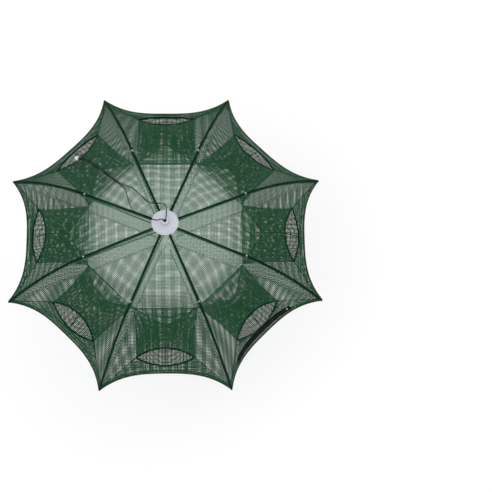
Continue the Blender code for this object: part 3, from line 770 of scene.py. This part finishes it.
def makeFloor(panel):
    lines = turned(floorLift(floorFound, panel), panel * step)
    net = strung(f"floorNet{panel + 1}", lines, floorNet["radius"], 4, "floorNet", thick=heavierOutward)
    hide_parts(f"floor_{panel + 1}")
    squashed(net)
    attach(net, f"floor_{panel + 1}")


# ---- ribs
# where each cover starts and ends: from the hub's axis, past the rivet, or short of the tip
ribTrim = {
    "start": 0.030, "pastRivet": 0.010, "rodStart": 0.012, "shortOfTip": 0.004, "seamStart": 0.026,
    "seamShort": 0.002, "seamDrop": 0.0004, "lashSpacing": 0.013, "lashTilt": 0.30, "headLift": 0.0008,
    "capBack": 0.0005, "capLift": 0.0016,
    "sleeve": (0.0038, 12, "seamTape", 0.0016, 95.0), "rodSleeve": (0.0028, 10, "seamTape", 0.0010, 110.0),
    "seam": (0.0027, 8, "seamTape", 0.0016, 130.0),
}
capProfile = [(0.0, 0.0), (0.0027, 0.0006), (0.0031, 0.002), (0.0031, 0.007), (0.0026, 0.0085), (0.0, 0.0088)]
headProfile = [(0.0, 0.0), (0.0024, 0.0), (0.0027, 0.0006), (0.0024, 0.0015), (0.0013, 0.0021), (0.0, 0.0023)]
pinProfile = [(0.0, -0.0062), (0.0022, -0.0060), (0.0022, -0.0052), (0.0013, -0.0052), (0.0013, 0.0036),
              (0.0024, 0.0036), (0.0024, 0.0046), (0.0, 0.0050)]


def ribLine(start, end, count, angle, lift=0.0):
    out = np.linspace(start, end, count)
    return turned([np.stack([out, np.zeros_like(out), ribHeight(out) + lift], 1)], angle)[0]


def makeRib(index):
    t, angle, spin = ribTrim, half + index * step, Matrix.Rotation(half + index * step, 4, "Z")
    inner = ribLine(t["start"], rivetRadius + t["pastRivet"], 16, angle)
    outer = ribLine(rivetRadius + t["rodStart"], tipRadius - t["shortOfTip"], 22, angle)
    seam = ribLine(t["seamStart"], tipRadius - t["seamShort"], 44, angle,
                   canopyShape["netRise"] - t["seamDrop"])
    sleeve = strung(f"ribSleeve{index + 1}", [inner], *t["sleeve"])
    rodSleeve = strung(f"rodSleeve{index + 1}", [outer], *t["rodSleeve"])
    ribSeam = strung(f"ribSeam{index + 1}", [seam], *t["seam"])
    lashing = repeated(f"ribLashing{index + 1}", [inner[1:-1], outer[:-1]], lashPiece, t["lashSpacing"],
                       t["lashTilt"], 20 + index, "seamTape")
    onBody(f"rib_{index + 1}", "net", sleeve, rodSleeve, ribSeam, lashing)
    cap = lathe(f"tipCap{index + 1}", capProfile, 14, made["darkPlastic"])
    back = tipRadius - t["shortOfTip"]
    slope = Vector((back, 0, float(rodHeight(back)))) - Vector((tipRadius, 0, rodHeight(tipRadius)))
    place = Matrix.Translation((tipRadius - t["capBack"], 0, rodHeight(tipRadius) + t["capLift"]))
    cap.data.transform(spin @ place @ slope.to_track_quat("Z", "Y").to_matrix().to_4x4())
    onBody(f"rib_{index + 1}", "dark_plastic", cap)
    head = lathe(f"rivetHead{index + 1}", headProfile, 18, made["rivetPale"])
    top = Matrix.Translation((rivetRadius, 0, rivetHeight + canopyShape["netRise"] + t["headLift"]))
    head.data.transform(spin @ top @ Matrix.Rotation(droop, 4, "Y"))
    pin = lathe(f"rivetPin{index + 1}", pinProfile, 14, made["rivetPale"])
    pin.data.transform(spin @ Matrix.Translation((rivetRadius, 0, rivetHeight))
                       @ Matrix.Rotation(math.radians(90), 4, "X"))
    onBody(f"rib_{index + 1}", "hub_plastic", head, pin)


def outwardMesh(name, points, faces):
    mesh = bpy.data.meshes.new(name)
    mesh.from_pydata(points, [], faces)
    shape = bmesh.new()
    shape.from_mesh(mesh)
    bmesh.ops.recalc_face_normals(shape, faces=shape.faces)
    shape.to_mesh(mesh)
    shape.free()
    return mesh


def lathe(name, profile, around, finish, waves=0, depth=0.0):
    # a profile of (radius, height) turned about Z, closed at its poles; the outermost edge can be waved
    widest = max(radius for radius, height in profile)
    points, faces, rings = [], [], []
    for radius, height in profile:
        if radius < 1e-6:
            rings.append([len(points)])
            points.append((0, 0, height))
            continue
        ring = []
        for i in range(around):
            turn = 2 * math.pi * i / around
            out = radius
            if waves and radius > widest * 0.9:
                out -= depth * (0.5 - 0.5 * math.cos(waves * turn))
            ring.append(len(points))
            points.append((out * math.cos(turn), out * math.sin(turn), height))
        rings.append(ring)
    closed = len(rings[0]) > 1
    for a, b in zip(rings, rings[1:] + (rings[:1] if closed else [])):
        for i in range(around):
            j = (i + 1) % around
            corners = [a[i % len(a)], a[j % len(a)], b[j % len(b)], b[i % len(b)]]
            faces.append(tuple(dict.fromkeys(corners)))
    mesh = outwardMesh(name, points, faces)
    mesh.shade_smooth()
    mesh.set_sharp_from_angle(angle=math.radians(50))
    mesh.materials.append(finish)
    return addObject(name, mesh)


# ---- hub
# each ring: a share of the node's radius and an offset, then its base (0) or its top (1) and an offset
hubParts = {
    "hubDisc": {"node": "top_disc", "waves": 24, "depth": 0.0011, "rings": [
        (0, 0.0046, 0, 0), (1, -0.0006, 0, 0), (1, 0, 0, 0.0005), (1, 0, 1, -0.0006), (1, -0.0007, 1, 0),
        (1, -0.0035, 1, 0), (1, -0.0045, 1, -0.0005), (0, 0.0170, 1, -0.0005), (0, 0.0160, 1, 0),
        (0, 0.0130, 1, 0), (0, 0.0046, 1, 0)]},
    "hubBoss": {"node": "top_boss", "waves": 12, "depth": 0.0012, "rings": [
        (0, 0.0046, 0, 0), (1, 0, 0, 0), (1, 0, 0, 0.0020), (0.955, 0, 0, 0.0028), (0.955, 0, 1, -0.0016),
        (0.90, 0, 1, -0.0004), (0.80, 0, 1, 0), (0, 0.0056, 1, 0), (0, 0.0046, 1, -0.0008)]},
}
hubHem = {"ring": 0.0300, "lift": 0.0004, "radius": 0.0016, "uneven": 0.0008, "lumps": 200.0}


def makeHub():
    for name, part in hubParts.items():
        low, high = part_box(part["node"])
        profile = [(high.x * share + out, (high.z if atTop else low.z) + up)
                   for share, out, atTop, up in part["rings"]]
        piece = lathe(name, profile, 192, made["hubWhite"], part["waves"], part["depth"])
        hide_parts(part["node"])
        onBody("hub", "hub_plastic", piece)
    turn = np.linspace(0, 2 * math.pi, 49)
    height = pivotHeight + canopyShape["netRise"] + hubHem["lift"]
    ring = np.stack([hubHem["ring"] * np.cos(turn), hubHem["ring"] * np.sin(turn), np.full(49, height)], 1)
    onBody("hub", "net", strung("hubHem", [ring], hubHem["radius"], 8, "seamTape", hubHem["uneven"],
                                hubHem["lumps"]))


# ---- closure strip
zipStrip = {"panel": 7, "from": -0.66, "to": 0.56, "offset": 0.0015, "gap": 0.0045, "width": 0.0165,
            "lift": 0.0022, "thick": 0.0012, "ragged": 0.0008, "toothPitch": 0.0026, "stitchPitch": 0.0042,
            "snapAt": 0.50}
snapProfile = [(0.0, 0.0), (0.0022, 0.0), (0.0024, 0.0005), (0.0018, 0.0014), (0.0, 0.0018)]


def stripLine(across, share):
    # a line along the strip, share of the way from its rim side to its hub side
    z = zipStrip
    rimPoint = canopyPoint(np.full_like(across, 0.998), across, z["panel"])
    inward = canopyPoint(np.full_like(across, 0.92), across, z["panel"]) - rimPoint
    inward /= np.linalg.norm(inward, axis=1)[:, None]
    middle, reach = (z["from"] + z["to"]) / 2, (z["to"] - z["from"]) / 2
    bulge = z["gap"] * np.clip(1 - ((across - middle) / reach) ** 2, 0, 1)
    ragged = z["ragged"] * np.sin(41 * across) * (1 - share)
    reached = (z["offset"] + bulge + ragged + z["width"] * share)[:, None]
    return rimPoint + inward * reached + np.array([0, 0, z["lift"]])


def makeStrip():
    z, angle = zipStrip, zipStrip["panel"] * step
    across = np.linspace(z["from"], z["to"], 49)
    rows = [stripLine(across, share) for share in (0.0, 0.25, 0.5, 0.75, 1.0)]
    points, faces = [], []
    for thick in (0.0, z["thick"]):
        for row in rows:
            points += [tuple(p + np.array([0, 0, thick])) for p in row]
    n, m = len(across), len(rows)
    for r in range(m - 1):
        for i in range(n - 1):
            a = r * n + i
            faces.append((a, a + 1, a + n + 1, a + n))
            faces.append((m * n + a, m * n + a + n, m * n + a + n + 1, m * n + a + 1))
    for i in range(n - 1):
        for a in (i, (m - 1) * n + i):
            faces.append((a, a + 1, m * n + a + 1, m * n + a))
    for r in range(m - 1):
        for a in (r * n, r * n + n - 1):
            faces.append((a, a + n, m * n + a + n, m * n + a))
    mesh = outwardMesh("zipTape", points, faces)
    mesh.transform(Matrix.Rotation(angle, 4, "Z"))
    mesh.materials.append(made["zipTape"])
    tape = addObject("zipTape", mesh)
    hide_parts("closure_strip")
    low, middle, high = (turned([rows[r] + np.array([0, 0, lift])], angle)[0]
                         for r, lift in ((0, 0.0016), (2, 0.0016), (4, 0.0014)))
    teeth = repeated("zipTeeth", [middle], toothPiece, z["toothPitch"], 0.0, 1, "darkPlastic")
    stitches = repeated("zipStitches", [low, high], stitchPiece, z["stitchPitch"], 0.1, 2, "rivetPale")
    snap = lathe("zipSnap", snapProfile, 16, made["rivetPale"])
    spot = stripLine(np.array([z["snapAt"]]), 0.5)[0] + np.array([0, 0, 0.0014])
    snap.data.transform(Matrix.Rotation(angle, 4, "Z") @ Matrix.Translation(spot))
    onPanel(z["panel"], "closure_strip", tape, teeth, stitches, snap)


# ---- pull cord
cordRoutes = {
    "left": [
        (-0.0021, 0.0000, 0.1545), (-0.0024, 0.0002, 0.1585), (-0.0040, 0.0008, 0.1615),
        (-0.0080, 0.0019, 0.1622), (-0.0112, 0.0029, 0.1614), (-0.0140, 0.0038, 0.1580),
        (-0.0163, 0.0044, 0.1520), (-0.0205, 0.0054, 0.1475), (-0.0250, 0.0064, 0.1460),
        (-0.0310, 0.0080, 0.1456), (-0.0400, 0.0105, 0.1452), (-0.0500, 0.0150, 0.1412),
        (-0.0650, 0.0243, 0.1396), (-0.0874, 0.0374, 0.1386), (-0.0940, 0.0499, 0.1388),
        (-0.1008, 0.0720, 0.1391), (-0.1085, 0.0988, 0.1368), (-0.1194, 0.1121, 0.1346),
        (-0.1457, 0.1352, 0.1284), (-0.1730, 0.1607, 0.1178), (-0.1992, 0.1860, 0.1029),
        (-0.2215, 0.2082, 0.0862), (-0.2318, 0.2128, 0.0802), (-0.2409, 0.2175, 0.0742),
    ],
    "right": [
        (0.0020, 0.0006, 0.1545), (0.0022, 0.0009, 0.1585), (0.0026, 0.0030, 0.1615),
        (0.0030, 0.0075, 0.1622), (0.0033, 0.0108, 0.1614), (0.0035, 0.0142, 0.1580),
        (0.0036, 0.0166, 0.1520), (0.0036, 0.0208, 0.1475), (0.0037, 0.0255, 0.1460),
        (0.0038, 0.0315, 0.1456), (0.0037, 0.0405, 0.1450), (0.0035, 0.0468, 0.1425),
        (-0.0014, 0.0535, 0.1418), (-0.0096, 0.0559, 0.1420), (-0.0239, 0.0571, 0.1420),
        (-0.0417, 0.0591, 0.1407), (-0.0564, 0.0714, 0.1403), (-0.0715, 0.0879, 0.1398),
        (-0.0895, 0.1039, 0.1378), (-0.1043, 0.1103, 0.1360), (-0.1178, 0.1157, 0.1344),
        (-0.1444, 0.1389, 0.1278), (-0.1715, 0.1646, 0.1171), (-0.1977, 0.1901, 0.1018),
        (-0.2206, 0.2127, 0.0841), (-0.2310, 0.2165, 0.0790), (-0.2406, 0.2207, 0.0742),
    ],
}
pullCord = {"radius": 0.00125, "panel": 3, "spacing": 0.0025, "blendFrom": 0.020, "blendTo": 0.060}
beadShape = {"from": (-0.2416, 0.2199, 0.0735), "to": (-0.2527, 0.2237, 0.0679), "length": 0.013,
             "radius": 0.006, "dimple": 0.0004, "ring": 0.62, "ringWire": 0.0014, "ringBack": 0.0006}
# shares of the bead's radius and of its length
beadProfile = [(0.50, 0.0), (0.80, 0.10), (0.97, 0.28), (1.0, 0.50), (0.97, 0.72), (0.80, 0.90), (0.50, 1.0)]


def makeCords():
    angle, b = pullCord["panel"] * step, beadShape
    body, out = f"panel_{pullCord['panel'] + 1}", Vector((math.cos(angle), math.sin(angle), 0))
    start, end = Vector(b["from"]), Vector(b["to"])
    aim = Matrix.Translation(start) @ (end - start).to_track_quat("Z", "Y").to_matrix().to_4x4()
    shell = [(b["radius"] * share, b["length"] * at) for share, at in beadProfile]
    shell = [(0.0, b["dimple"]), *shell, (0.0, b["length"] - b["dimple"])]
    bead = lathe("cordBead", shell, 28, made["beadWhite"])
    bead.data.transform(aim)
    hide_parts("cord_bead")
    collar = addObject("beadRing", ringMesh(b["radius"] * b["ring"], b["ringWire"], 28, 10))
    collar.data.materials.append(made["darkPlastic"])
    collar.data.transform(aim @ Matrix.Translation((0, 0, -b["ringBack"])))
    for side in ("left", "right"):
        line = smoothLine(cordRoutes[side], pullCord["spacing"])
        cord = strung("pullCord" + side.capitalize(), [line], pullCord["radius"], 10, "pullCord")
        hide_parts(f"pull_cord_{side}")
        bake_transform(cord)
    onBody(body, "bead", bead)
    onBody(body, "dark_plastic", collar)


# ---- small pieces that are repeated along a path
def smallBar(name, size):
    shape = bmesh.new()
    bmesh.ops.create_cube(shape, size=1.0)
    bmesh.ops.scale(shape, vec=size, verts=shape.verts)
    bmesh.ops.bevel(shape, geom=shape.edges[:], offset=min(size) * 0.3, segments=1, affect="EDGES")
    mesh = bpy.data.meshes.new(name)
    shape.to_mesh(mesh)
    shape.free()
    return addObject(name, mesh)


loopPiece = addObject("loopPiece", ringMesh(0.0022, 0.0006, 10, 4))
lashPiece = addObject("lashPiece", ringMesh(0.0045, 0.0008, 12, 4))
toothPiece = smallBar("toothPiece", (0.0034, 0.0012, 0.0014))
stitchPiece = smallBar("stitchPiece", (0.0006, 0.0006, 0.0022))

for number in range(ribs):
    makeCanopy(number)
    makeRim(number)
    makeEntrance(number)
    makeFloor(number)
    makeRib(number)
print("net panels, entrances, floor and ribs made")
makeHub()
makeStrip()
makeCords()
for piece in (loopPiece, lashPiece, toothPiece, stitchPiece):
    bpy.data.objects.remove(piece)
print("hub, closure strip and pull cord made")

nodeFinish = {"crown": "darkPlastic", "crown_plate": "darkPlastic", "runner": "darkPlastic",
              "crown_ring": "ringWire"}
for name, thing in frame["nodes"].items():
    thing.data.materials.clear()
    thing.data.materials.append(made[nodeFinish.get(name, "paintedSteel")])


# ---- floor, light and camera
studio = {"groundHeight": -0.72, "groundGlow": 0.10, "world": 0.92,
          "lamps": (("keyLight", (-1.2, -1.6, 3.0), 26, 2.5), ("fillLight", (1.8, 0.8, 2.4), 9, 2.5))}
view = {"elevation": 1.2081, "azimuth": 0.0574, "roll": -0.0583, "distance": 4.42, "lens": 115.8,
        "aside": 0.2233, "lower": 0.0134}


def makeStage():
    mesh = bpy.data.meshes.new("ground")
    mesh.from_pydata([(-6, -6, 0), (6, -6, 0), (6, 6, 0), (-6, 6, 0)], [], [(0, 1, 2, 3)])
    ground = addObject("ground", mesh)
    ground.location.z = studio["groundHeight"]
    pale = bpy.data.materials.new("paleGround")
    pale.use_nodes = True
    shader = pale.node_tree.nodes["Principled BSDF"]
    for label, value in (("Base Color", (0.93, 0.93, 0.93, 1)), ("Roughness", 0.9),
                         ("Emission Color", (1, 1, 1, 1)), ("Emission Strength", studio["groundGlow"])):
        shader.inputs[label].default_value = value
    mesh.materials.append(pale)
    world = bpy.data.worlds.new("studio")
    world.use_nodes = True
    world.node_tree.nodes["Background"].inputs["Color"].default_value = (1, 1, 1, 1)
    world.node_tree.nodes["Background"].inputs["Strength"].default_value = studio["world"]
    bpy.context.scene.world = world
    for name, place, power, size in studio["lamps"]:
        lamp = bpy.data.lights.new(name, "AREA")
        lamp.energy, lamp.size = power, size
        thing = addObject(name, lamp)
        thing.location = place
        thing.rotation_euler = (-Vector(place)).to_track_quat("-Z", "Y").to_euler()


def makeCamera():
    swing = Matrix.Rotation(view["azimuth"], 3, "Z")
    back = swing @ Vector((0, -math.cos(view["elevation"]), math.sin(view["elevation"])))
    right = swing @ Vector((1, 0, 0))
    up = back.cross(right)
    place = back * view["distance"]
    rolledRight = right * math.cos(view["roll"]) + up * math.sin(view["roll"])
    rolledUp = up * math.cos(view["roll"]) - right * math.sin(view["roll"])
    target = rolledRight * view["aside"] - rolledUp * view["lower"]
    look = (place - target).normalized()
    across = (rolledRight - look * rolledRight.dot(look)).normalized()
    turn = Matrix((across, look.cross(across), look)).transposed()
    lens = bpy.data.cameras.new("camera")
    lens.lens, lens.sensor_width, lens.clip_end = view["lens"], 36, 50
    camera = addObject("camera", lens)
    camera.matrix_world = Matrix.Translation(place) @ turn.to_4x4()
    bpy.context.scene.camera = camera
    bpy.context.scene.view_settings.view_transform = "Standard"


makeStage()
makeCamera()
print("stage and camera ready")
